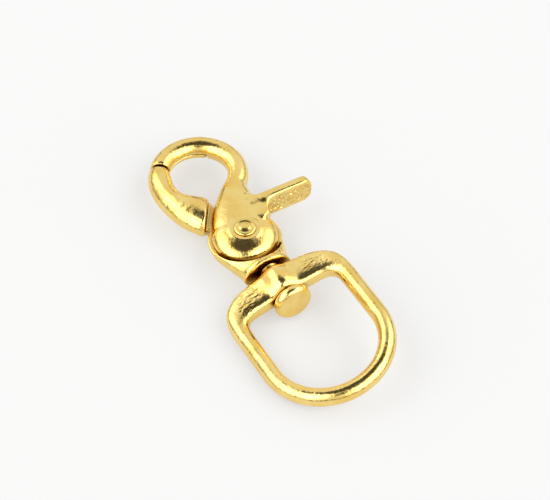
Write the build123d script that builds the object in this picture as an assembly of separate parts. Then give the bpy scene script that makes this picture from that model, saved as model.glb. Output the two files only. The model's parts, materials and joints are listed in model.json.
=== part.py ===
from build123d import *
import os
from math import cos, radians, sin

# Brass scissor snap with a swivelling D eye, lying flat. Millimetres, +Z up.
# It is drawn about the jaw pivot, with the swivel axis along X at height axis_z, and the
# finished pieces are then moved so that the origin is under the middle of the whole object.

# Solids that are joined run this far into each other, and cutters reach this far up or down
overlap = 0.5
clear_height = 9.0

# Swivel eye: the bow takes a strap, and the base bar carries a bored hub
strap_width = 25.4
rod_half_across = 2.3
rod_half_height = 2.4
eye_half_width = strap_width / 2 + rod_half_across
bar_middle_x = 13.0
bar_inner_x = 22.1
bow_centre_x = 39.4
eye_roll = 12.0
hub_radius = 4.6
hub_start_x = 12.8
hub_rounding = 0.8
bar_rounding = 1.0
axis_z = eye_half_width * sin(radians(eye_roll)) + rod_half_height

# Swivel stem, cast with the hook body, and the button that its end is peened into
stem_radius = 2.5
stem_end_radius = 1.9
button_radius = 4.9
button_start_x = 22.4
button_end_x = 25.2
button_rounding = 1.1

# Oval collar at the end of the neck
collar_half_width = 6.6
collar_half_height = 4.6
collar_start_x = 11.2
collar_end_x = 12.5

# Lap joint: the moving jaw is the upper plate and the fixed jaw is the lower plate
lap_gap = 0.1
plate_height = 3.6
plate_rounding = 3.0
boss_height = 3.8
boss_radius = 4.1
moving_disc_radius = 8.35
fixed_disc_radius = 9.4
swing_radius = 9.7
neck_wall_radius = 8.8
neck_wall_top_radius = 11.4
cove_height = 5.2
neck_offset = -0.5
neck_step_y = 7.1
jaw_wall_distance = 10.2
jaw_wall_angle = 236.0
jaw_back_distance = 0.2
jaw_back_angle = 94.0

# Pivot rivet
rivet_radius = 2.0
rivet_head_radius = 2.75
rivet_top = 4.6
rivet_head_rounding = 0.6
running_clearance = 0.05
axial_clearance = 0.05

# Torsion spring in the recess between the plates
wire_radius = 0.35
spring_mean_radius = 3.6
spring_turns = 2.5
leg_length = 2.4
fixed_leg_angle = 300.0
moving_leg_angle = 120.0
pocket_inner_radius = 2.6
pocket_outer_radius = 4.4
pocket_half_height = 1.6
slot_width = 1.0
slot_end_gap = 0.3

# Jaws: both follow one round ring and meet in a lap at the nose
ring_x = -25.0
ring_y = 0.4
ring_radius = 10.1
arch_half_across = 2.75
arch_half_height = 2.8
root_angle = 44.0
tip_angle = 233.0
shoulder_angle = 235.0
lap_end_angle = 135.0
lap_end_gap = 1.5

# Thumb lever
lever_x = -7.6
lever_thickness = 2.6
lever_start_y = 5.0
lever_end_y = 23.3
lever_low = -3.3
lever_high = 3.9
lever_end_rounding = 2.8
web_low = -2.6
web_high = 2.8
root_low_y = 0.3


def lift(shape):
    """Places a shape drawn about the swivel axis at its height above the table."""
    return Pos(0, 0, axis_z) * shape


def oval(x, y, heading, half_across, half_height):
    """An upright ellipse whose normal points along the heading, in degrees from +X."""
    run = (cos(radians(heading)), sin(radians(heading)), 0)
    across = (-run[1], run[0], 0)
    return Plane(origin=(x, y, 0), x_dir=across, z_dir=run) * Ellipse(half_across, half_height)


def ring_oval(angle):
    """A section of the jaw ring at an angle about the ring's centre."""
    x = ring_x + ring_radius * cos(radians(angle))
    y = ring_y + ring_radius * sin(radians(angle))
    return oval(x, y, angle + 90, arch_half_across, arch_half_height)


def ring_run(start, end):
    """A stretch of the jaw ring's rod between two angles."""
    return revolve(ring_oval(start), Axis((ring_x, ring_y, 0), (0, 0, 1)), end - start)


def post(radius, low, high):
    """An upright cylinder about the pivot."""
    return Pos(0, 0, low) * Cylinder(radius, high - low, align=(Align.CENTER, Align.CENTER, Align.MIN))


def rod_along_x(radius, start, end):
    """A round bar along the swivel axis."""
    upright = Cylinder(radius, end - start, align=(Align.CENTER, Align.CENTER, Align.MIN))
    return Pos(start, 0, 0) * Rot(0, 90, 0) * upright


def half_space(angle, distance, low, high):
    """A large block whose inner wall faces the pivot: all that lies past a line in plan."""
    side = 80
    block = Pos(distance + side / 2, 0, (low + high) / 2) * Box(side, side, high - low)
    return Rot(0, 0, angle) * block


def round_plate(radius):
    """One round plate of the lap joint, domed towards its edge, with a raised boss."""
    plate = post(radius, lap_gap / 2, plate_height)
    plate = fillet(plate.edges().filter_by(GeomType.CIRCLE).sort_by(Axis.Z)[-1], plate_rounding)
    return plate + post(boss_radius, plate_height - overlap, boss_height)


def spring_room(leg_angle):
    """The round recess above the lap plane for half of the spring, and the slot for its leg."""
    recess = post(pocket_outer_radius, 0, pocket_half_height)
    recess -= post(pocket_inner_radius, 0, pocket_half_height)
    slot_end = spring_mean_radius + leg_length + slot_end_gap
    slot = Pos((spring_mean_radius + slot_end) / 2, 0, pocket_half_height / 2) * Box(
        slot_end - spring_mean_radius, slot_width, pocket_half_height
    )
    return recess + Rot(0, 0, leg_angle) * slot


def make_fixed_jaw():
    """Hook body: lower plate, neck, oval collar, lower jaw and the finger under the nose."""
    jaw = loft(
        [
            oval(-7.5, -5.0, 207, 4.2, 3.4),
            oval(-14.0, -6.7, 203, 4.9, 3.6),
            oval(-17.8, -9.2, 189, 4.0, 3.4),
            oval(-22.4, -10.4, 172, 3.1, 3.1),
            oval(-27.2, -9.7, 159, 3.1, 3.0),
            ring_oval(shoulder_angle),
        ]
    )
    jaw -= half_space(jaw_wall_angle - 180, -jaw_wall_distance, -lap_gap / 2, clear_height)
    jaw -= half_space(jaw_back_angle, jaw_back_distance, -clear_height, clear_height)
    finger = ring_run(shoulder_angle, lap_end_angle + lap_end_gap)
    finger -= Pos(ring_x, ring_y, 0) * half_space(0, -40, -lap_gap / 2, clear_height)
    neck = loft(
        [
            oval(1.5, neck_offset, 0, 9.2, 3.5),
            oval(6.0, neck_offset, 0, 8.1, 3.7),
            oval(9.0, neck_offset, 0, 7.2, 4.0),
            oval(collar_start_x + 0.3, neck_offset, 0, 6.5, 4.5),
        ]
    )
    upwards = (Align.CENTER, Align.CENTER, Align.MIN)
    cove = Cone(neck_wall_radius, neck_wall_top_radius, cove_height, align=upwards)
    neck -= Pos(0, 0, -lap_gap / 2) * cove
    neck -= half_space(90, neck_step_y, -lap_gap / 2, clear_height)
    collar_face = oval(collar_start_x, neck_offset, 0, collar_half_width, collar_half_height)
    collar = extrude(collar_face, collar_end_x - collar_start_x)
    body = round_plate(fixed_disc_radius).mirror(Plane.XY) + jaw + finger + neck + collar
    body -= spring_room(-fixed_leg_angle).mirror(Plane.XY).mirror(Plane.XZ)
    body -= post(rivet_radius, -clear_height, clear_height)
    body += rod_along_x(stem_radius, collar_end_x - overlap, button_start_x)
    body += rod_along_x(stem_end_radius, button_start_x - overlap, button_end_x)
    return lift(body)


def make_moving_jaw():
    """Trigger jaw: upper plate, arch over the ring down to the nose, and the thumb lever."""
    bottom = -clear_height
    arch = ring_run(root_angle, tip_angle)
    root = loft(
        [
            ring_oval(root_angle),
            oval(-13.9, 5.7, 322, 4.3, 3.3),
            oval(-8.5, 2.9, 338, 6.3, 3.5),
            oval(-3.0, 0.9, 345, 7.8, 3.4),
        ]
    )
    lever = Pos(lever_x, (lever_start_y + lever_end_y) / 2, (lever_low + lever_high) / 2) * Box(
        lever_thickness, lever_end_y - lever_start_y, lever_high - lever_low
    )
    lever = fillet(lever.edges().filter_by(Axis.X).group_by(Axis.Y)[-1], lever_end_rounding)
    web = make_face(
        [
            ThreePointArc((-13.2, 6.8), (-10.0, 8.2), (-8.8, 11.2)),
            Line((-8.8, 11.2), (-6.5, 11.2)),
            Line((-6.5, 11.2), (-6.5, 3.5)),
            Line((-6.5, 3.5), (-13.2, 3.5)),
            Line((-13.2, 3.5), (-13.2, 6.8)),
        ]
    )
    web = Pos(0, 0, web_low) * extrude(web, web_high - web_low)
    body = round_plate(moving_disc_radius) + arch + root + lever + web
    body -= post(swing_radius, bottom, lap_gap / 2)
    body -= lap_room(bottom)
    body -= half_space(270, -root_low_y, bottom, lap_gap / 2)
    body -= spring_room(moving_leg_angle)
    body -= post(rivet_radius + running_clearance, bottom, -bottom)
    return lift(body)


def lap_room(bottom):
    """The wedge below the lap plane that the fixed jaw's finger takes up under the nose."""
    reach = 30
    a = radians(lap_end_angle)
    b = radians(tip_angle + 20)
    face = make_face(
        Polyline(
            (0, 0),
            (reach * cos(a), reach * sin(a)),
            (-2 * reach, 0),
            (reach * cos(b), reach * sin(b)),
            close=True,
        )
    )
    return Pos(ring_x, ring_y, bottom) * extrude(face, lap_gap / 2 - bottom)


def make_pivot_rivet():
    """Headed pin through both plates."""
    seat = boss_height + axial_clearance
    head = post(rivet_head_radius, seat, rivet_top)
    head = fillet(head.edges().filter_by(GeomType.CIRCLE).sort_by(Axis.Z)[-1], rivet_head_rounding)
    return lift(post(rivet_radius, -seat, seat) + head + head.mirror(Plane.XY))


def make_torsion_spring():
    """Spring wire coiled about the rivet between the plates, one leg in each plate."""
    rise = 2 * (pocket_half_height - wire_radius - 0.1)
    helix = Helix(rise / spring_turns, rise, spring_mean_radius)
    section = Plane(origin=helix @ 0, z_dir=helix % 0) * Circle(wire_radius)
    coil = Pos(0, 0, -rise / 2) * sweep(section, path=helix, is_frenet=True)
    leg = rod_along_x(wire_radius, spring_mean_radius, spring_mean_radius + leg_length)
    legs = [Pos(0, 0, -rise / 2) * leg, Rot(0, 0, 180) * Pos(0, 0, rise / 2) * leg]
    return lift(Rot(0, 0, fixed_leg_angle) * (coil + legs))


def make_swivel_button():
    """Thick round button on the end of the stem, which holds the eye on."""
    button = rod_along_x(button_radius, button_start_x, button_end_x)
    button = fillet(button.edges().filter_by(GeomType.CIRCLE), button_rounding)
    return lift(button - rod_along_x(stem_end_radius, button_start_x, button_end_x))


def make_swivel_d_ring():
    """D eye: a base bar with round shoulders and a bored hub, and a bow for the strap."""
    outer_y = eye_half_width + rod_half_across
    outline = make_face(
        [
            ThreePointArc((15.3, -11.6), (bar_middle_x, 0), (15.3, 11.6)),
            ThreePointArc((15.3, 11.6), (17.8, 15.7), (bar_inner_x, outer_y - 0.2)),
            Line((bar_inner_x, outer_y - 0.2), (bar_inner_x, 0.2 - outer_y)),
            ThreePointArc((bar_inner_x, 0.2 - outer_y), (17.8, -15.7), (15.3, -11.6)),
        ]
    )
    bar = Pos(0, 0, -rod_half_height) * extrude(outline, 2 * rod_half_height)
    bar = fillet(bar.edges().filter_by(Plane.XY), bar_rounding)
    section = Plane.YZ * Pos(eye_half_width, 0) * Ellipse(rod_half_across, rod_half_height)
    side = Pos(bar_inner_x - 2, 0, 0) * extrude(section, bow_centre_x - bar_inner_x + 2)
    bow = Pos(bow_centre_x, 0, 0) * revolve(section, Axis.Z, -180)
    hub = rod_along_x(hub_radius, hub_start_x, bar_inner_x)
    hub = fillet(hub.edges().filter_by(GeomType.CIRCLE), hub_rounding)
    eye = bar + side + side.mirror(Plane.XZ) + bow + hub
    eye -= rod_along_x(stem_radius + running_clearance, hub_start_x - 1, bar_inner_x + 1)
    return lift(Rot(eye_roll, 0, 0) * eye)


nodes = {
    "fixed_jaw": make_fixed_jaw(),
    "moving_jaw": make_moving_jaw(),
    "pivot_rivet": make_pivot_rivet(),
    "torsion_spring": make_torsion_spring(),
    "swivel_button": make_swivel_button(),
    "swivel_d_ring": make_swivel_d_ring(),
}

whole = Compound([solid for shape in nodes.values() for solid in shape.solids()]).bounding_box()
shift = Pos(-whole.center().X, -whole.center().Y, -whole.min.Z)
os.makedirs("parts", exist_ok=True)
for name, shape in nodes.items():
    export_step(shift * shape, f"parts/{name}.step")
print("pivot at", (shift * Pos(0, 0, axis_z)).position, "overall size", whole.size)
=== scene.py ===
import json
from math import cos, degrees, pi, radians, sin

import bmesh
import bpy
from bpy.props import FloatProperty, FloatVectorProperty, PointerProperty
from mathutils import Matrix, Vector, noise


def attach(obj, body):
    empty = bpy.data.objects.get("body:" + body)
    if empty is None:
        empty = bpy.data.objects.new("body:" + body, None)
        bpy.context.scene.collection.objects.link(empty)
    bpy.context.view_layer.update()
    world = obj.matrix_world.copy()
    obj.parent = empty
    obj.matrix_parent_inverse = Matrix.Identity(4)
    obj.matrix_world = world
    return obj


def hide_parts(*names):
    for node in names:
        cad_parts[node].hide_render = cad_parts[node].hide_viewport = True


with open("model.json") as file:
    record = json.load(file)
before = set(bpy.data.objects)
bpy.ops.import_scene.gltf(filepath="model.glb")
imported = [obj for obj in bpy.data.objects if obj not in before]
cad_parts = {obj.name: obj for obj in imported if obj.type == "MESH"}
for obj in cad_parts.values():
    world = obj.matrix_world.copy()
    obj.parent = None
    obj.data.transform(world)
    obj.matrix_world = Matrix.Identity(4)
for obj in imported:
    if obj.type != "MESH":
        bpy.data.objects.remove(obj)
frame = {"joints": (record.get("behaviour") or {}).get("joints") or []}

bl_info = {
    "name": "Swivel Snap Hook",
    "version": (1, 0, 0),
    "blender": (4, 5, 0),
    "location": "View3D > Sidebar > Snap Hook",
    "description": "Builds a brass scissor snap hook with a swivelling D eye around its CAD frame",
    "category": "Object",
}

# Lengths in the modelling functions are millimetres about the jaw pivot: x runs along the hook
# towards the eye, y towards the thumb lever, z up. place() turns a finished mesh to metres in
# the shared frame.
MM = 0.001
JOINTS = {joint["name"]: joint for joint in frame["joints"]}
PIVOT = Vector(JOINTS["jaw_pivot"]["pos_m"])
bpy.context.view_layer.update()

# Vertices nearer than this are merged into one
MERGE_DISTANCE = 1e-4
# Places outside of every piece, for cutters that run right through
BELOW, ABOVE = -12.0, 12.0
FAR = 80.0

# The two castings meet at the lap plane, z = 0, and each stays this far off it
LAP_FACE = 0.05
# The middle of the ring that both jaws follow, in plan
RING_X, RING_Y = -25.0, 0.4
# Angles round the ring, in degrees: where the nose meets the lower jaw, where the arch runs out
# into its root, and where the room for the finger under the nose ends
TIP_ANGLE = 233
ARCH_END_ANGLE = 30
LAP_END_ANGLE = 135
RING_STEP = 6

# Sections of a casting are upright ovals: x and y of the middle, heading in degrees, half width,
# half height, and how square the oval is. 1 is an ellipse and more is squarer.
NOSE = (
    (-31.4, -7.3, 325, 2.35, 2.4, 1.0),
    (-31.25, -7.45, 324, 2.65, 2.7, 1.0),
)
JAW_ROOT = (
    (-17.7, 7.5, 316, 2.8, 2.8, 1.0),
    (-16.2, 6.2, 319, 3.3, 2.95, 1.0),
    (-13.9, 5.3, 322, 4.4, 3.2, 1.1),
    (-11.2, 4.0, 330, 5.6, 3.4, 1.15),
    (-8.5, 2.8, 336, 6.7, 3.6, 1.2),
    (-5.0, 1.4, 342, 7.6, 3.75, 1.2),
    (-2.0, 0.6, 345, 7.9, 3.8, 1.2),
    (1.0, 0, 345, 7.5, 3.8, 1.2),
)
LOWER_JAW = (
    (-7.5, -5.0, 207, 4.2, 3.6, 0.9),
    (-10.7, -6.0, 205, 4.6, 3.8, 0.85),
    (-14.0, -6.6, 203, 5.9, 3.9, 1.0),
    (-17.8, -9.5, 189, 3.9, 3.6, 0.85),
    (-22.4, -10.6, 172, 3.3, 3.2, 0.85),
    (-27.2, -9.7, 159, 3.3, 3.0, 0.9),
    (-30.2, -8.3, 147, 2.8, 2.8, 1.0),
    (-31.0, -7.6, 143, 2.6, 2.65, 1.0),
)
NECK_Y = -0.5
NECK = (
    (1.5, NECK_Y, 0, 9.2, 3.5, 1.2),
    (4.0, NECK_Y, 0, 8.7, 3.6, 1.2),
    (6.0, NECK_Y, 0, 8.1, 3.7, 1.1),
    (9.0, NECK_Y, 0, 7.2, 4.0, 1.0),
    (11.6, NECK_Y, 0, 6.4, 4.4, 1.0),
)
# The collar's sections: x, and how far each is inside of the widest
COLLAR = ((11.0, 0.35), (11.3, 0.0), (12.3, 0.0), (12.5, 0.25))
# From the hub out along the eye's base bar to the corner, where the side rod takes over
EYE_SHOULDER = (
    (17.55, 1.3, 90, 4.5, 4.35, 1.5),
    (17.55, 2.6, 90, 4.45, 3.5, 1.5),
    (17.6, 3.7, 90, 4.3, 2.65, 1.8),
    (17.7, 5.0, 90, 4.15, 2.35, 2.2),
    (18.03, 8.7, 87, 3.88, 2.3, 2.3),
    (18.55, 11.3, 79, 3.62, 2.3, 2.0),
    (20.0, 13.6, 57, 3.36, 2.35, 1.6),
)
ROD_SQUARE = 0.92
BOW_X = 39.4

# Round plates: where the dome's curve is centred, how far its crown is below the plate's height,
# and how far round it runs, in degrees; then how far in the flat lap face ends
DOME_START, DOME_BASE = 2.3, 0.4
DOME_DROP, DOME_END_ANGLE = 0.3, 68
LAP_FACE_INSET = 0.1
BOSS_BEVEL_DOWN, BOSS_BEVEL_IN = 0.15, 0.25
# The recess that the torsion spring lies in, and the bore that the jaw's root leaves round it
RECESS_IN, RECESS_OUT, RECESS_TOP = 2.6, 4.4, 1.6
JAW_BORE = 4.6
# The plates' play round the rivet's shank, and under its heads
RIVET_PLAY = 0.05
# Below the lap plane the trigger jaw has nothing short of this y
ROOT_LOW_Y = 0.3

# The thumb lever: length, height, middle, and the rounding of its free end
LEVER_LENGTH, LEVER_HEIGHT = 14.8, 7.2
LEVER_MIDDLE = (-7.6, 15.9, 0.3)
LEVER_ROUNDING = 2.8
# The webs between the root and the lever start inside of the root
WEB_BASE = -2.4

# Straight cuts through the hook body, as offset from the pivot and turn in degrees: the wall of
# the lower jaw that the trigger jaw closes against, and its back
JAW_WALL = (-10.2, 56)
JAW_BACK = (0.2, 94)
NECK_STEP_Y = 7.1

# The stem that the eye turns on, and its thinner end that the button is peened over
STEM_START_X, STEM_STEP_X, STEM_END_X = 12.0, 22.4, 24.5
STEM_RADIUS, STEM_END_RADIUS = 2.5, 1.9

# Fusing: a coarse pass melts the trigger jaw's parts into one another, and a fine one, at the
# casting's own detail, rounds every edge a little
COARSE_VOXEL, COARSE_PASSES, FINE_PASSES = 0.28, 18, 6

# Skin that the buffing wheel didn't reach: middle and radius of each patch, its depth, and the
# spacing of its grains. Real sand grain is near 0.2 mm, which is too fine to show, so it is
# drawn about twice as coarse. The lever's patches overlap in a band, and end inside the lever, so
# that its far face stays smooth.
LEVER_SKIN = [((-6.0, 12.5 + 1.2 * i, 0.0), 2.85) for i in range(8)]
LEVER_DEPTH, LEVER_GRAIN = 0.35, 0.45
EYE_SKIN = [((17.5, -8.5, 2.0), 3.4), ((20.5, -11.0, 0.5), 2.6), ((18.0, 9.5, 2.0), 3.0)]
EYE_DEPTH, EYE_GRAIN = 0.08, 0.42

# The floor lies this far below the hook, so that the two never share a face. Its half width is
# in metres.
FLOOR_DROP = 0.02
FLOOR_HALF_WIDTH = 3.0
# Where the camera looks, in mm: along the hook from the pivot, then to the camera's right, then up
AIM = (24.7, -4.7955, 13.0233)
# The white room: azimuth and elevation of a lamp or a dark patch, its inner and outer half
# angle, all in degrees, and how much brighter or darker it makes that part
ROOM = (
    (2, 36, 17, 42, 3.3),
    (118, 36, 17, 42, 3.3),
    (180, 38, 8, 26, 2.4),
    (300, 38, 8, 26, 2.4),
    (0, 90, 20, 35, 0.08),
    (60, 48, 6, 14, 0.10),
)
# The room's own brightness against height, from the floor's level, 0, to overhead, 1
WALLS = ((0.0, 0.03), (0.06, 0.04), (0.15, 0.9), (0.90, 0.9))


# ---------------------------------------------------------------- sizes and colours


def mm_prop(name, description, default):
    """A length of the object, in millimetres."""
    return FloatProperty(name=name, description=description + ", in mm", default=default, min=0.01,
                         max=80.0)


class HookSizes(bpy.types.PropertyGroup):
    """Sizes of the two jaws and the rivet."""
    moving_disc_radius: mm_prop("Moving plate", "Radius of the upper round plate of the lap joint", 8.3)
    fixed_disc_radius: mm_prop("Fixed plate", "Radius of the lower round plate of the lap joint", 9.4)
    plate_height: mm_prop("Plate height", "Height of each plate over the lap plane", 3.6)
    boss_radius: mm_prop("Boss radius", "Radius of the raised boss round the rivet", 4.1)
    boss_height: mm_prop("Boss height", "Height of the boss over the lap plane", 3.8)
    rivet_radius: mm_prop("Rivet shank", "Radius of the pivot rivet's shank", 2.0)
    rivet_head_radius: mm_prop("Rivet head", "Radius of the pivot rivet's heads", 2.75)
    rivet_top: mm_prop("Rivet height", "Height of the rivet's head over the lap plane", 4.6)
    swing_radius: mm_prop("Swing radius", "Radius below the lap plane that the trigger jaw keeps clear", 9.7)
    ring_radius: mm_prop("Jaw ring", "Radius of the middle line of the jaws' ring", 10.1)
    arch_half_across: mm_prop("Arch half width", "Half width of the jaws' rod in plan", 2.75)
    arch_half_height: mm_prop("Arch half height", "Half height of the jaws' rod", 2.8)
    lever_thickness: mm_prop("Lever thickness", "Thickness of the thumb lever", 2.6)
    collar_half_width: mm_prop("Collar half width", "Half width of the oval collar", 6.6)
    collar_half_height: mm_prop("Collar half height", "Half height of the oval collar", 4.6)
    voxel: mm_prop("Casting detail", "Size of the smallest detail that a casting keeps", 0.17)


class EyeSizes(bpy.types.PropertyGroup):
    """Sizes of the swivelling D eye and its button."""
    rod_half_across: mm_prop("Rod half width", "Half width of the eye's rod in plan", 2.3)
    rod_half_height: mm_prop("Rod half height", "Half height of the eye's rod", 2.4)
    half_width: mm_prop("Eye half width", "From the swivel axis to the middle of a side rod", 15.0)
    hub_radius: mm_prop("Hub radius", "Radius of the bored hub in the base bar", 4.6)
    bore_radius: mm_prop("Bore radius", "Radius of the hub's bore", 2.55)
    button_radius: mm_prop("Button radius", "Radius of the button on the stem's end", 4.9)
    roll: FloatProperty(name="Eye roll", description="How far the eye is turned about the swivel at rest",
                        default=radians(12.0), subtype="ANGLE", unit="ROTATION")


def srgb(code):
    """An sRGB hex colour as linear RGB."""
    channels = [int(code[i:i + 2], 16) / 255 for i in (0, 2, 4)]
    return tuple(c / 12.92 if c <= 0.04045 else ((c + 0.055) / 1.055) ** 2.4 for c in channels)


def colour_prop(name, description, code):
    """A colour of a finish, given as sRGB hex."""
    return FloatVectorProperty(name=name, description=description, subtype="COLOR", size=3,
                               min=0.0, max=1.0, default=srgb(code))


class BrassLook(bpy.types.PropertyGroup):
    """Colours and surface detail of the metals."""
    bright: colour_prop("Bright brass", "Colour of freshly polished brass", "F8DB88")
    warm: colour_prop("Warm brass", "Colour of brass where the polish is thinner", "F0CA6C")
    # Painted shade: the brown that tight corners and the gaps between parts are painted with, where shade
    # falls
    painted_shade: colour_prop("Stain", "Colour of the brown film in pits and corners", "8A5A1E")
    spring: colour_prop("Spring steel", "Colour of the oiled spring wire", "6A6865")
    roughness: FloatProperty(name="Polish", description="Roughness of the buffed brass", default=0.09,
                             min=0.02, max=1.0)
    # Painted shade: how near two walls come before the corner between them is painted brown as shade
    painted_shade_mm: mm_prop("Stain reach", "How near two walls are before the wheel leaves the brown film", 2.0)
    speck_mm: mm_prop("Pit spacing", "Spacing of the fine casting pits", 0.55)
    swell_mm: mm_prop("Swell spacing", "Spacing of the soft waves that buffing leaves", 5.0)
    mottle_mm: mm_prop("Mottle spacing", "Spacing of the oil's mottle on the spring wire", 0.4)


class StageLook(bpy.types.PropertyGroup):
    """The floor and the camera."""
    floor: colour_prop("Floor", "Colour of the plain floor", "969696")
    glow: FloatProperty(name="Glow", description="Light that the floor sheet gives by itself", default=0.5,
                        min=0.0, max=1.0)
    azimuth: FloatProperty(name="Azimuth", description="Camera azimuth from -Y towards +X",
                           default=radians(60.2), subtype="ANGLE", unit="ROTATION")
    elevation: FloatProperty(name="Elevation", description="Camera height over the floor, as an angle",
                             default=radians(48.0), subtype="ANGLE", unit="ROTATION")
    distance: FloatProperty(name="Distance", description="Camera distance from the object",
                            default=0.540, min=0.05, max=5.0, subtype="DISTANCE", unit="LENGTH")
    lens: FloatProperty(name="Lens", description="Focal length of the camera on a 36 mm sensor",
                        default=145.2, min=10.0, max=400.0, unit="CAMERA")


# ---------------------------------------------------------------- meshes


def mesh_object(bm, name):
    """A bmesh as a new object of the scene."""
    mesh = bpy.data.meshes.new(name)
    bm.to_mesh(mesh)
    bm.free()
    piece = bpy.data.objects.new(name, mesh)
    bpy.context.scene.collection.objects.link(piece)
    return piece


def outward(bm):
    """Merges doubles and turns all faces outwards."""
    bmesh.ops.remove_doubles(bm, verts=bm.verts, dist=MERGE_DISTANCE)
    bmesh.ops.recalc_face_normals(bm, faces=bm.faces)
    return bm


def bake(piece):
    """Applies a piece's modifiers to its mesh."""
    bpy.context.view_layer.update()
    graph = bpy.context.evaluated_depsgraph_get()
    baked = bpy.data.meshes.new_from_object(piece.evaluated_get(graph))
    piece.modifiers.clear()
    piece.data = baked
    return piece


def join(pieces, name):
    """Several closed bodies as one object, ready to be fused."""
    bm = bmesh.new()
    for piece in pieces:
        bm.from_mesh(piece.data)
        bpy.data.objects.remove(piece)
    return mesh_object(bm, name)


def combine(piece, operation, *others):
    """Takes closed bodies out of a closed body, DIFFERENCE, or adds them to it, UNION."""
    for other in others:
        step = piece.modifiers.new("combine", "BOOLEAN")
        step.operation = operation
        step.solver = "EXACT"
        step.object = other
        bake(piece)
        bpy.data.objects.remove(other)
    return piece


def cast(pieces, name, voxel, passes):
    """Fuses overlapping bodies into one casting with soft corners, as tumbling leaves them."""
    piece = join(pieces, name)
    fuse = piece.modifiers.new("fuse", "REMESH")
    fuse.mode = "VOXEL"
    fuse.voxel_size = voxel
    soften = piece.modifiers.new("soften", "SMOOTH")
    soften.factor = 0.5
    soften.iterations = passes
    return bake(piece)


def wear(piece, patches, depth, grain):
    """Raises a fine pebbled skin, as sand leaves it, where the buffing wheel didn't reach."""
    bm = bmesh.new()
    bm.from_mesh(piece.data)
    for vert in bm.verts:
        reach = max(1 - ((vert.co - Vector(middle)).length / radius) ** 4 for middle, radius in patches)
        if reach > 0:
            # Coarse grains and finer ones between, on a skin a little below the buffed face
            bump = noise.noise(vert.co / grain) + 0.5 * noise.noise(vert.co / grain * 2.1)
            vert.co += vert.normal * (bump - 0.3) * depth * min(1, 2 * reach)
    bm.to_mesh(piece.data)
    bm.free()


def place(piece, body, slot, *nodes):
    """Puts a finished piece in the shared frame, rides it on its body and hides the CAD nodes."""
    piece.data.transform(Matrix.Translation(PIVOT) @ Matrix.Scale(MM, 4))
    for face in piece.data.polygons:
        face.use_smooth = True
    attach(piece, body)
    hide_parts(*nodes)
    return piece


def arc_points(cx, cz, rx, rz, start, end, count):
    """Points on an elliptical arc, angles in degrees, both ends in."""
    turn = radians(end - start) / count
    return [(cx + rx * cos(radians(start) + turn * i), cz + rz * sin(radians(start) + turn * i))
            for i in range(count + 1)]


def spun(outline, name, steps=96):
    """A solid of revolution about the pivot: outline is (radius, height) points, closed."""
    bm = bmesh.new()
    verts = [bm.verts.new((r, 0, z)) for r, z in outline]
    edges = [bm.edges.new((a, b)) for a, b in zip(verts, verts[1:] + verts[:1])]
    bmesh.ops.spin(bm, geom=verts + edges, cent=(0, 0, 0), axis=(0, 0, 1), angle=2 * pi,
                   steps=steps, use_merge=True)
    return mesh_object(outward(bm), name)


def along_x(outline, name):
    """A solid of revolution about the swivel axis: outline is (radius, x) points."""
    piece = spun(outline, name)
    piece.data.transform(Matrix.Rotation(pi / 2, 4, "Y"))
    return piece


def block(low, high, name, turn=0.0):
    """A plain closed box between two corners, turned in plan about the pivot."""
    bm = bmesh.new()
    bmesh.ops.create_cube(bm, size=1.0)
    bmesh.ops.scale(bm, vec=Vector(high) - Vector(low), verts=bm.verts)
    bmesh.ops.translate(bm, vec=(Vector(high) + Vector(low)) / 2, verts=bm.verts)
    bmesh.ops.rotate(bm, cent=(0, 0, 0), matrix=Matrix.Rotation(turn, 3, "Z"), verts=bm.verts)
    return mesh_object(bm, name)


def post(radius, low, high, name):
    """A closed upright cylinder about the pivot."""
    bm = bmesh.new()
    bmesh.ops.create_cone(bm, cap_ends=True, segments=96, radius1=radius, radius2=radius,
                          depth=high - low)
    bmesh.ops.translate(bm, vec=(0, 0, (low + high) / 2), verts=bm.verts)
    return mesh_object(bm, name)


def extruded(points, low, high, name, rounding=0.0):
    """An upright prism over an outline in plan, with its upper edge rounded."""
    bm = bmesh.new()
    face = bm.faces.new([bm.verts.new((x, y, low)) for x, y in points])
    raised = bmesh.ops.extrude_face_region(bm, geom=[face])["geom"]
    top = [item for item in raised if isinstance(item, bmesh.types.BMVert)]
    bmesh.ops.translate(bm, vec=(0, 0, high - low), verts=top)
    outward(bm)
    if rounding:
        rim = [edge for edge in bm.edges if all(vert.co.z > high - 0.01 for vert in edge.verts)]
        bmesh.ops.bevel(bm, geom=rim, offset=rounding, offset_type="OFFSET", segments=5, profile=0.5,
                        affect="EDGES", material=-1, clamp_overlap=True)
    return mesh_object(bm, name)


def oval_loop(bm, middle, heading, half_across, half_height, square, count):
    """One upright section: an oval, squarer and flatter on top as square rises over 1."""
    loop = bmesh.ops.create_circle(bm, cap_ends=False, radius=1.0, segments=count)["verts"]
    for vert in loop:
        x, y = vert.co.x, vert.co.y
        grow = (abs(x) ** (2 * square) + abs(y) ** (2 * square)) ** (-0.5 / square)
        across, up = x * grow * half_across, y * grow * half_height
        vert.co = Vector((across * -sin(heading), across * cos(heading), up)) + Vector(middle)
    return loop


def skinned(sections, name, closed=False, count=32, fine=0):
    """A closed body through upright sections, which make a ring where closed is set."""
    bm = bmesh.new()
    rings = []
    for x, y, heading, across, height, square in sections:
        loop = oval_loop(bm, (x, y, 0), radians(heading), across, height, square, count)
        rings.append(list({edge for vert in loop for edge in vert.link_edges}))
    for ring, following in zip(rings, rings[1:] + rings[:1] if closed else rings[1:]):
        bmesh.ops.bridge_loops(bm, edges=ring + following)
    if not closed:
        bmesh.ops.contextual_create(bm, geom=rings[0])
        bmesh.ops.contextual_create(bm, geom=rings[-1])
    piece = mesh_object(outward(bm), name)
    if fine:
        curve = piece.modifiers.new("fine", "SUBSURF")
        curve.levels = curve.render_levels = fine
        bake(piece)
    return piece


# ---------------------------------------------------------------- pieces


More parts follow.
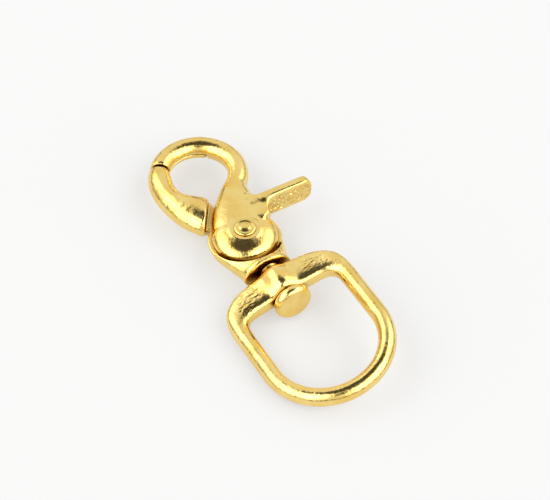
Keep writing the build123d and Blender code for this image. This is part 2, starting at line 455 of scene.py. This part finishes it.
def ring_sections(first, last):
    """Sections of the jaws' ring rod between two angles, in degrees."""
    s = bpy.context.scene.hook_sizes
    count = max(2, round(abs(last - first) / RING_STEP))
    sections = []
    for i in range(count + 1):
        angle = first + (last - first) * i / count
        x = RING_X + s.ring_radius * cos(radians(angle))
        y = RING_Y + s.ring_radius * sin(radians(angle))
        sections.append((x, y, angle + 90, s.arch_half_across, s.arch_half_height, 1.0))
    return sections


def plate(radius, up, name):
    """A round plate of the lap joint: raised boss, sloping top, heavily rounded edge, spring recess."""
    s = bpy.context.scene.hook_sizes
    bore = s.rivet_radius + RIVET_PLAY
    outline = [(bore, s.boss_height), (bore, LAP_FACE)]
    outline += [(RECESS_IN, LAP_FACE), (RECESS_IN, RECESS_TOP)]
    outline += [(RECESS_OUT, RECESS_TOP), (RECESS_OUT, LAP_FACE), (radius - LAP_FACE_INSET, LAP_FACE)]
    outline += arc_points(DOME_START, DOME_BASE, radius - DOME_START, s.plate_height - DOME_DROP,
                          0, DOME_END_ANGLE, 16)
    outline += [(s.boss_radius, s.boss_height - BOSS_BEVEL_DOWN)]
    outline += [(s.boss_radius - BOSS_BEVEL_IN, s.boss_height)]
    return spun([(r, up * z) for r, z in outline], name)


def lever():
    """The thumb lever: a thick flat paddle with a rounded end."""
    bm = bmesh.new()
    bmesh.ops.create_cube(bm, size=1.0)
    thickness = bpy.context.scene.hook_sizes.lever_thickness
    bmesh.ops.scale(bm, vec=(thickness, LEVER_LENGTH, LEVER_HEIGHT), verts=bm.verts)
    bmesh.ops.translate(bm, vec=LEVER_MIDDLE, verts=bm.verts)
    ends = []
    for edge in bm.edges:
        first, second = (vert.co for vert in edge.verts)
        if min(first.y, second.y) > LEVER_MIDDLE[1] and abs(first.z - second.z) < 0.1:
            ends.append(edge)
    bmesh.ops.bevel(bm, geom=ends, offset=LEVER_ROUNDING, offset_type="OFFSET", segments=8,
                    profile=0.5, affect="EDGES", material=-1)
    return mesh_object(outward(bm), "lever")


def webs():
    """The concave webs either side of the lever's root, and the saddle that fills the outer one."""
    left = arc_points(-13.2, 11.2, 4.4, 4.4, -88, -2, 9)
    outer = [(-14.6, 7.2)] + left + [(-7.0, 11.2), (-7.0, 3.0), (-13.0, 3.0)]
    right = arc_points(-2.0, 13.2, 4.3, 4.5, 180, 268, 9)
    inner = [(-7.6, 13.2)] + right + [(-1.0, 6.0), (-4.0, 3.0), (-7.6, 3.0)]
    saddle = arc_points(-13.2, 11.2, 4.8, 4.8, -62, -2, 6) + [(-6.8, 12.0), (-6.0, 5.0), (-11.0, 4.5)]
    return [extruded(outer, WEB_BASE, 2.3, "outer_web", 1.1),
            extruded(inner, WEB_BASE, 3.5, "inner_web", 1.7),
            extruded(saddle, WEB_BASE, 3.65, "saddle", 1.2)]


def lap_room():
    """The wedge below the lap plane that the fixed jaw's finger takes up under the nose."""
    reach = 30
    start, end = radians(LAP_END_ANGLE), radians(TIP_ANGLE + 20)
    wedge = [(RING_X, RING_Y), (RING_X + reach * cos(start), RING_Y + reach * sin(start)),
             (RING_X - 2 * reach, RING_Y), (RING_X + reach * cos(end), RING_Y + reach * sin(end))]
    return extruded(wedge, BELOW, LAP_FACE, "lap_room")


def trigger_jaw():
    """Upper plate, arch over the ring down to the nose, root, concave webs and thumb lever."""
    s = bpy.context.scene.hook_sizes
    arch = skinned([*NOSE, *ring_sections(TIP_ANGLE - 2, ARCH_END_ANGLE)], "arch", fine=1)
    root = skinned(JAW_ROOT, "root", fine=1)
    jaw = cast([arch, root, *webs(), lever()], "jaw", COARSE_VOXEL, COARSE_PASSES)
    combine(jaw, "DIFFERENCE", post(s.swing_radius, BELOW, LAP_FACE, "swing"), lap_room(),
            block((-FAR, -FAR, BELOW), (FAR, ROOT_LOW_Y, LAP_FACE), "lower_side"),
            post(JAW_BORE, BELOW, RECESS_TOP, "spring_room"))
    upper = plate(s.moving_disc_radius, 1, "upper_plate")
    piece = cast([jaw, upper], "trigger_jaw", s.voxel, FINE_PASSES)
    wear(piece, LEVER_SKIN, LEVER_DEPTH, LEVER_GRAIN)
    return piece


def hook_body():
    """Lower plate, neck, collar and stem, the lower jaw and the finger under the nose."""
    s = bpy.context.scene.hook_sizes
    wall, wall_turn = JAW_WALL
    back, back_turn = JAW_BACK
    jaw = combine(skinned(LOWER_JAW, "lower_jaw", fine=1), "DIFFERENCE",
                  block((wall, -FAR, -LAP_FACE), (FAR, FAR, ABOVE), "jaw_wall", radians(wall_turn)),
                  block((back, -FAR, BELOW), (FAR, FAR, ABOVE), "jaw_back", radians(back_turn)))
    finger = skinned(ring_sections(TIP_ANGLE + 5, LAP_END_ANGLE + 1.5), "finger", fine=1)
    combine(finger, "DIFFERENCE", block((-FAR, -FAR, -LAP_FACE), (FAR, FAR, ABOVE), "finger_top"))
    # The moving plate's edge swings in this hollow of the neck
    cove = spun([(0, -LAP_FACE), (8.8, -LAP_FACE), (9.3, 1.0), (10.4, 3.2), (11.6, 5.4), (0, 5.4)], "cove")
    neck = combine(skinned(NECK, "neck"), "DIFFERENCE", cove,
                   block((-FAR, NECK_STEP_Y, -LAP_FACE), (FAR, FAR, ABOVE), "neck_step"))
    collar = skinned([(x, NECK_Y, 0, s.collar_half_width - inset, s.collar_half_height - inset, 1.0)
                      for x, inset in COLLAR], "collar")
    lower = plate(s.fixed_disc_radius, -1, "lower_plate")
    body = cast([jaw, finger, neck, collar, lower], "hook_body", s.voxel, FINE_PASSES)
    combine(body, "DIFFERENCE", post(s.rivet_radius, BELOW, ABOVE, "rivet_hole"))
    stem = [(0, STEM_START_X), (STEM_RADIUS, STEM_START_X), (STEM_RADIUS, STEM_STEP_X),
            (STEM_END_RADIUS, STEM_STEP_X), (STEM_END_RADIUS, STEM_END_X), (0, STEM_END_X)]
    return combine(body, "UNION", along_x(stem, "stem"))


def rivet():
    """The pivot rivet: a shank with a head at each end, dished round a low dome."""
    s = bpy.context.scene.hook_sizes
    seat = s.boss_height + RIVET_PLAY
    r, rise = s.rivet_head_radius, s.rivet_top - seat
    rim = [(1.0, 0.0), (1.0, 0.35), (0.96, 0.6), (0.86, 0.72), (0.76, 0.68), (0.66, 0.5), (0.58, 0.5)]
    head = [(across * r, seat + up * rise) for across, up in rim]
    head += arc_points(0, seat + 0.5 * rise, 0.52 * r, 0.5 * rise, 25, 90, 6)
    upper = [(s.rivet_radius, seat)] + head
    return spun([(across, -z) for across, z in reversed(upper)] + upper, "pivot_rivet_head")


def button():
    """The round button on the stem's end, with a soft edge and a slightly raised face."""
    r = bpy.context.scene.eye_sizes.button_radius
    back = arc_points(23.6, r - 1.2, 1.2, 1.2, 180, 90, 8)
    front = arc_points(23.9, r - 1.3, 1.25, 1.3, 90, 10, 8)
    outline = [(STEM_END_RADIUS, STEM_END_X + 0.1), (STEM_END_RADIUS, STEM_STEP_X)]
    outline += [(radius, x) for x, radius in back + front]
    outline += [(0, 25.2), (0, STEM_END_X + 0.1)]
    return along_x(outline, "button")


def swivel_eye():
    """The D eye: one rod round the bow, which swells through the shoulders to the bored hub."""
    e = bpy.context.scene.eye_sizes
    w, flat, tall = e.half_width, e.rod_half_across, e.rod_half_height
    half = [*EYE_SHOULDER, (22.3, 14.75, 37, 2.82, tall, 1.2), (24.8, w, 15, 2.42, tall, 1.0)]
    half += [(x, w, 0, flat, tall, ROD_SQUARE) for x in (28.0, 31.8, 35.6, BOW_X)]
    turns = [i * pi / 30 for i in range(1, 15)]
    half += [(BOW_X + w * sin(a), w * cos(a), -degrees(a), flat, tall, ROD_SQUARE) for a in turns]
    mirrored = [(x, -y, 180 - heading, *rest) for x, y, heading, *rest in reversed(half)]
    hub = [(17.55, 0, 90, 4.55, e.hub_radius, 1.8)]
    bow_end = [(BOW_X + w, 0, -90, flat, tall, ROD_SQUARE)]
    eye = skinned(hub + half + bow_end + mirrored, "swivel_eye", closed=True, count=20, fine=3)
    wear(eye, EYE_SKIN, EYE_DEPTH, EYE_GRAIN)
    before, behind = 10.0, 25.0
    bore = [(0, before), (e.bore_radius, before), (e.bore_radius, behind), (0, behind)]
    combine(eye, "DIFFERENCE", along_x(bore, "bore"))
    eye.data.transform(Matrix.Rotation(e.roll, 4, "X"))
    return eye


# ---------------------------------------------------------------- finishes


def node(tree, kind, settings=None, stops=(), **links):
    """Adds one shader node with its settings and colour stops, and fills or links its inputs."""
    made = tree.nodes.new(kind)
    for key, value in (settings or {}).items():
        setattr(made, key, value)
    while stops and len(made.color_ramp.elements) < len(stops):
        made.color_ramp.elements.new(0.5)
    for i, (at, colour) in enumerate(stops):
        made.color_ramp.elements[i].position = at
        made.color_ramp.elements[i].color = (*colour, 1.0)
    for key, value in links.items():
        socket = made.inputs[int(key[1:]) if key[1:].isdigit() else key.replace("_", " ")]
        if isinstance(value, bpy.types.NodeSocket):
            tree.links.new(value, socket)
        else:
            socket.default_value = value
    return made


def grey(value):
    """A neutral colour."""
    return (value, value, value)


def cast_brass(name, speck, swell):
    """Buffed yellow brass: speck and swell are the heights of its pits and waves, in mm."""
    look = bpy.context.scene.brass_look
    material = bpy.data.materials.new(name)
    material.use_nodes = True
    tree = material.node_tree
    shader = tree.nodes["Principled BSDF"]
    spot = node(tree, "ShaderNodeTexCoord").outputs["Object"]
    waves = node(tree, "ShaderNodeTexNoise", Vector=spot, Scale=1 / (look.swell_mm * MM), Detail=2.0)
    waves = waves.outputs["Fac"]
    # Real casting pits are near 0.15 mm, too fine to show, so they are drawn at speck_mm
    pits = node(tree, "ShaderNodeTexNoise", Vector=spot, Scale=1 / (look.speck_mm * MM), Detail=3.0)
    pits = pits.outputs["Fac"]
    # The colour drifts between a fresh and a thinner polish. In tight corners and between parts, ambient
    # occlusion paints it brown as painted shade, where shade falls
    tint = node(tree, "ShaderNodeValToRGB", stops=((0.35, look.bright), (0.7, look.warm)), Fac=waves)
    shade_occlusion = node(tree, "ShaderNodeAmbientOcclusion", {"samples": 6}, Distance=look.painted_shade_mm * MM)
    # buffed is the share left without painted shade: 0 where the painted shade is full, 1 away from corners
    buffed = node(tree, "ShaderNodeMapRange", Value=shade_occlusion.outputs["AO"], From_Min=0.3, From_Max=0.8)
    colour = node(tree, "ShaderNodeMix", {"data_type": "RGBA"}, _0=buffed.outputs["Result"],
                  _6=(*look.painted_shade, 1.0), _7=tint.outputs["Color"])
    tree.links.new(colour.outputs[2], shader.inputs["Base Color"])
    # Pits hold a little grit, so the gloss breaks up there
    dull = ((0.3, grey(look.roughness)), (0.75, grey(look.roughness + 0.12)))
    rough = node(tree, "ShaderNodeValToRGB", stops=dull, Fac=pits)
    tree.links.new(rough.outputs["Color"], shader.inputs["Roughness"])
    shader.inputs["Metallic"].default_value = 1.0
    # The waves bend long reflections, and the pits make them grainy close to
    swells = node(tree, "ShaderNodeBump", Height=waves, Distance=swell * MM, Strength=1.0)
    specks = node(tree, "ShaderNodeBump", Height=pits, Distance=speck * MM, Strength=1.0,
                  Normal=swells.outputs["Normal"])
    tree.links.new(specks.outputs["Normal"], shader.inputs["Normal"])
    return material


def spring_steel():
    """Oiled drawn spring steel."""
    look = bpy.context.scene.brass_look
    material = bpy.data.materials.new("oiled drawn spring steel")
    material.use_nodes = True
    tree = material.node_tree
    shader = tree.nodes["Principled BSDF"]
    spot = node(tree, "ShaderNodeTexCoord").outputs["Object"]
    # A dull dark grey with a satin shine, mottled where the oil film is thicker
    mottle = node(tree, "ShaderNodeTexNoise", Vector=spot, Scale=1 / (look.mottle_mm * MM), Detail=3.0)
    dark = tuple(0.7 * channel for channel in look.spring)
    tint = node(tree, "ShaderNodeValToRGB", stops=((0.3, look.spring), (0.7, dark)),
                Fac=mottle.outputs["Fac"])
    tree.links.new(tint.outputs["Color"], shader.inputs["Base Color"])
    shader.inputs["Metallic"].default_value = 1.0
    shader.inputs["Roughness"].default_value = 0.35
    return material


def lit_opal():
    """Opal acrylic sheet, lit from behind."""
    look = bpy.context.scene.stage_look
    material = bpy.data.materials.new("lit opal acrylic sheet")
    material.use_nodes = True
    shader = material.node_tree.nodes["Principled BSDF"]
    # Plain, matt and pale: its own glow fills the shadows, so they stay faint
    shader.inputs["Base Color"].default_value = (*look.floor, 1.0)
    shader.inputs["Emission Color"].default_value = (1.0, 1.0, 0.99, 1.0)
    shader.inputs["Emission Strength"].default_value = look.glow
    shader.inputs["Roughness"].default_value = 0.9
    shader.inputs["Specular IOR Level"].default_value = 0.0
    return material


def finish(piece, material):
    """Gives a piece its one material."""
    piece.data.materials.clear()
    piece.data.materials.append(material)


# ---------------------------------------------------------------- light and camera


def direction(azimuth, elevation):
    """The way from the object towards an azimuth and elevation, both in radians."""
    flat = cos(elevation)
    return Vector((sin(azimuth) * flat, -cos(azimuth) * flat, sin(elevation)))


def studio_light():
    """A white room with four lamps and a dark ceiling and camera place, which the brass mirrors."""
    scene = bpy.context.scene
    scene.view_settings.view_transform = "Standard"
    world = bpy.data.worlds.new("white room")
    scene.world = world
    world.use_nodes = True
    tree = world.node_tree
    way = node(tree, "ShaderNodeTexCoord").outputs["Generated"]
    height = node(tree, "ShaderNodeSeparateXYZ", Vector=way).outputs["Z"]
    walls = [(at, grey(value)) for at, value in WALLS]
    light = node(tree, "ShaderNodeValToRGB", stops=walls, Fac=height).outputs["Color"]
    for azimuth, elevation, inner, outer, gain in ROOM:
        toward = direction(radians(azimuth), radians(elevation))
        facing = node(tree, "ShaderNodeVectorMath", {"operation": "DOT_PRODUCT"}, _0=way, _1=toward)
        patch = node(tree, "ShaderNodeMapRange", {"interpolation_type": "SMOOTHSTEP"},
                     Value=facing.outputs["Value"], From_Min=cos(radians(outer)),
                     From_Max=cos(radians(inner)), To_Min=1.0, To_Max=gain)
        light = node(tree, "ShaderNodeVectorMath", {"operation": "MULTIPLY"}, _0=light,
                     _1=patch.outputs["Result"]).outputs["Vector"]
    background = tree.nodes["Background"]
    tree.links.new(light, background.inputs["Color"])
    background.inputs["Strength"].default_value = 1.0


def studio_camera():
    """The camera looks down at the hook from beside the eye."""
    look = bpy.context.scene.stage_look
    camera = bpy.data.objects.new("camera", bpy.data.cameras.new("camera"))
    bpy.context.scene.collection.objects.link(camera)
    camera.data.lens = look.lens
    camera.data.clip_end = 20.0
    back = direction(look.azimuth, look.elevation)
    right = Vector((cos(look.azimuth), sin(look.azimuth), 0))
    up = back.cross(right)
    along, aside, above = AIM
    aim = PIVOT + (Vector((along, 0, 0)) + right * aside + up * above) * MM
    turn = Matrix((right, up, back)).transposed().to_4x4()
    camera.matrix_world = Matrix.Translation(aim + back * look.distance) @ turn
    bpy.context.scene.camera = camera


# ---------------------------------------------------------------- operators


class BuildHookBody(bpy.types.Operator):
    """Casts the hook body: lower plate, neck, collar, stem, lower jaw and finger"""
    bl_idname = "snap_hook.hook_body"
    bl_label = "Hook body"

    def execute(self, context):
        piece = place(hook_body(), "hook_body", "hook_brass", "fixed_jaw")
        # Mirror-bright, with the soft waves that hand buffing leaves on a casting
        finish(piece, cast_brass("polished cast brass, hook body", 0.05, 0.25))
        return {"FINISHED"}


class BuildTriggerJaw(bpy.types.Operator):
    """Casts the trigger jaw: upper plate, arch, nose and thumb lever"""
    bl_idname = "snap_hook.trigger_jaw"
    bl_label = "Trigger jaw"

    def execute(self, context):
        piece = place(trigger_jaw(), "trigger_jaw", "hook_brass", "moving_jaw")
        # The same casting and buffing as the hook body
        finish(piece, cast_brass("polished cast brass, trigger jaw", 0.05, 0.25))
        return {"FINISHED"}


class FinishSpring(bpy.types.Operator):
    """Gives the torsion spring between the plates its steel finish"""
    bl_idname = "snap_hook.spring"
    bl_label = "Torsion spring"

    def execute(self, context):
        finish(bpy.data.objects["torsion_spring"], spring_steel())
        return {"FINISHED"}


class BuildRivet(bpy.types.Operator):
    """Turns the pivot rivet with its two low domed heads"""
    bl_idname = "snap_hook.rivet"
    bl_label = "Pivot rivet"

    def execute(self, context):
        piece = place(rivet(), "hook_body", "rivet_brass", "pivot_rivet")
        # Drawn brass has no casting skin, so its reflections are cleaner
        finish(piece, cast_brass("polished drawn brass, rivet", 0.01, 0.08))
        return {"FINISHED"}


class BuildButton(bpy.types.Operator):
    """Turns the button that the stem is peened into"""
    bl_idname = "snap_hook.button"
    bl_label = "Swivel button"

    def execute(self, context):
        piece = place(button(), "hook_body", "rivet_brass", "swivel_button")
        # Turned and polished smooth, so it mirrors more clearly than the castings
        finish(piece, cast_brass("polished turned brass, button", 0.01, 0.12))
        return {"FINISHED"}


class BuildEye(bpy.types.Operator):
    """Casts the swivelling D eye"""
    bl_idname = "snap_hook.eye"
    bl_label = "Swivel eye"

    def execute(self, context):
        piece = place(swivel_eye(), "swivel_eye", "eye_brass", "swivel_d_ring")
        # Its round rod is easier to buff than the jaws, so its waves are a little lower
        finish(piece, cast_brass("polished cast brass, eye", 0.045, 0.2))
        return {"FINISHED"}


class BuildStage(bpy.types.Operator):
    """Lays the pale floor and sets the soft light and the camera"""
    bl_idname = "snap_hook.stage"
    bl_label = "Stage"

    def execute(self, context):
        bm = bmesh.new()
        bmesh.ops.create_grid(bm, x_segments=1, y_segments=1, size=FLOOR_HALF_WIDTH)
        floor = mesh_object(bm, "floor")
        floor.data.transform(Matrix.Translation((0, 0, -FLOOR_DROP * MM)))
        finish(floor, lit_opal())
        studio_light()
        studio_camera()
        return {"FINISHED"}


STEPS = (BuildHookBody, BuildTriggerJaw, FinishSpring, BuildRivet, BuildButton, BuildEye, BuildStage)
GROUPS = {"hook_sizes": HookSizes, "eye_sizes": EyeSizes, "brass_look": BrassLook, "stage_look": StageLook}


class SnapHookPanel(bpy.types.Panel):
    """Lists the steps that build the snap hook, and its sizes and colours"""
    bl_idname = "VIEW3D_PT_snap_hook"
    bl_label = "Snap Hook"
    bl_space_type = "VIEW_3D"
    bl_region_type = "UI"
    bl_category = "Snap Hook"

    def draw(self, context):
        for step in STEPS:
            self.layout.operator(step.bl_idname)
        for group in GROUPS:
            box = self.layout.box()
            values = getattr(context.scene, group)
            for name in values.bl_rna.properties.keys():
                if name not in ("rna_type", "name"):
                    box.prop(values, name)


def register():
    """Registers the classes and puts the property groups on the scene."""
    for made in (*GROUPS.values(), *STEPS, SnapHookPanel):
        bpy.utils.register_class(made)
    for name, group in GROUPS.items():
        setattr(bpy.types.Scene, name, PointerProperty(type=group))


def unregister():
    """Takes away all that register() added."""
    for name in GROUPS:
        delattr(bpy.types.Scene, name)
    for made in reversed((*GROUPS.values(), *STEPS, SnapHookPanel)):
        bpy.utils.unregister_class(made)


def main():
    """Builds every piece and the stage."""
    register()
    for step in STEPS:
        group, name = step.bl_idname.split(".")
        getattr(getattr(bpy.ops, group), name)()


if __name__ == "__main__":
    main()
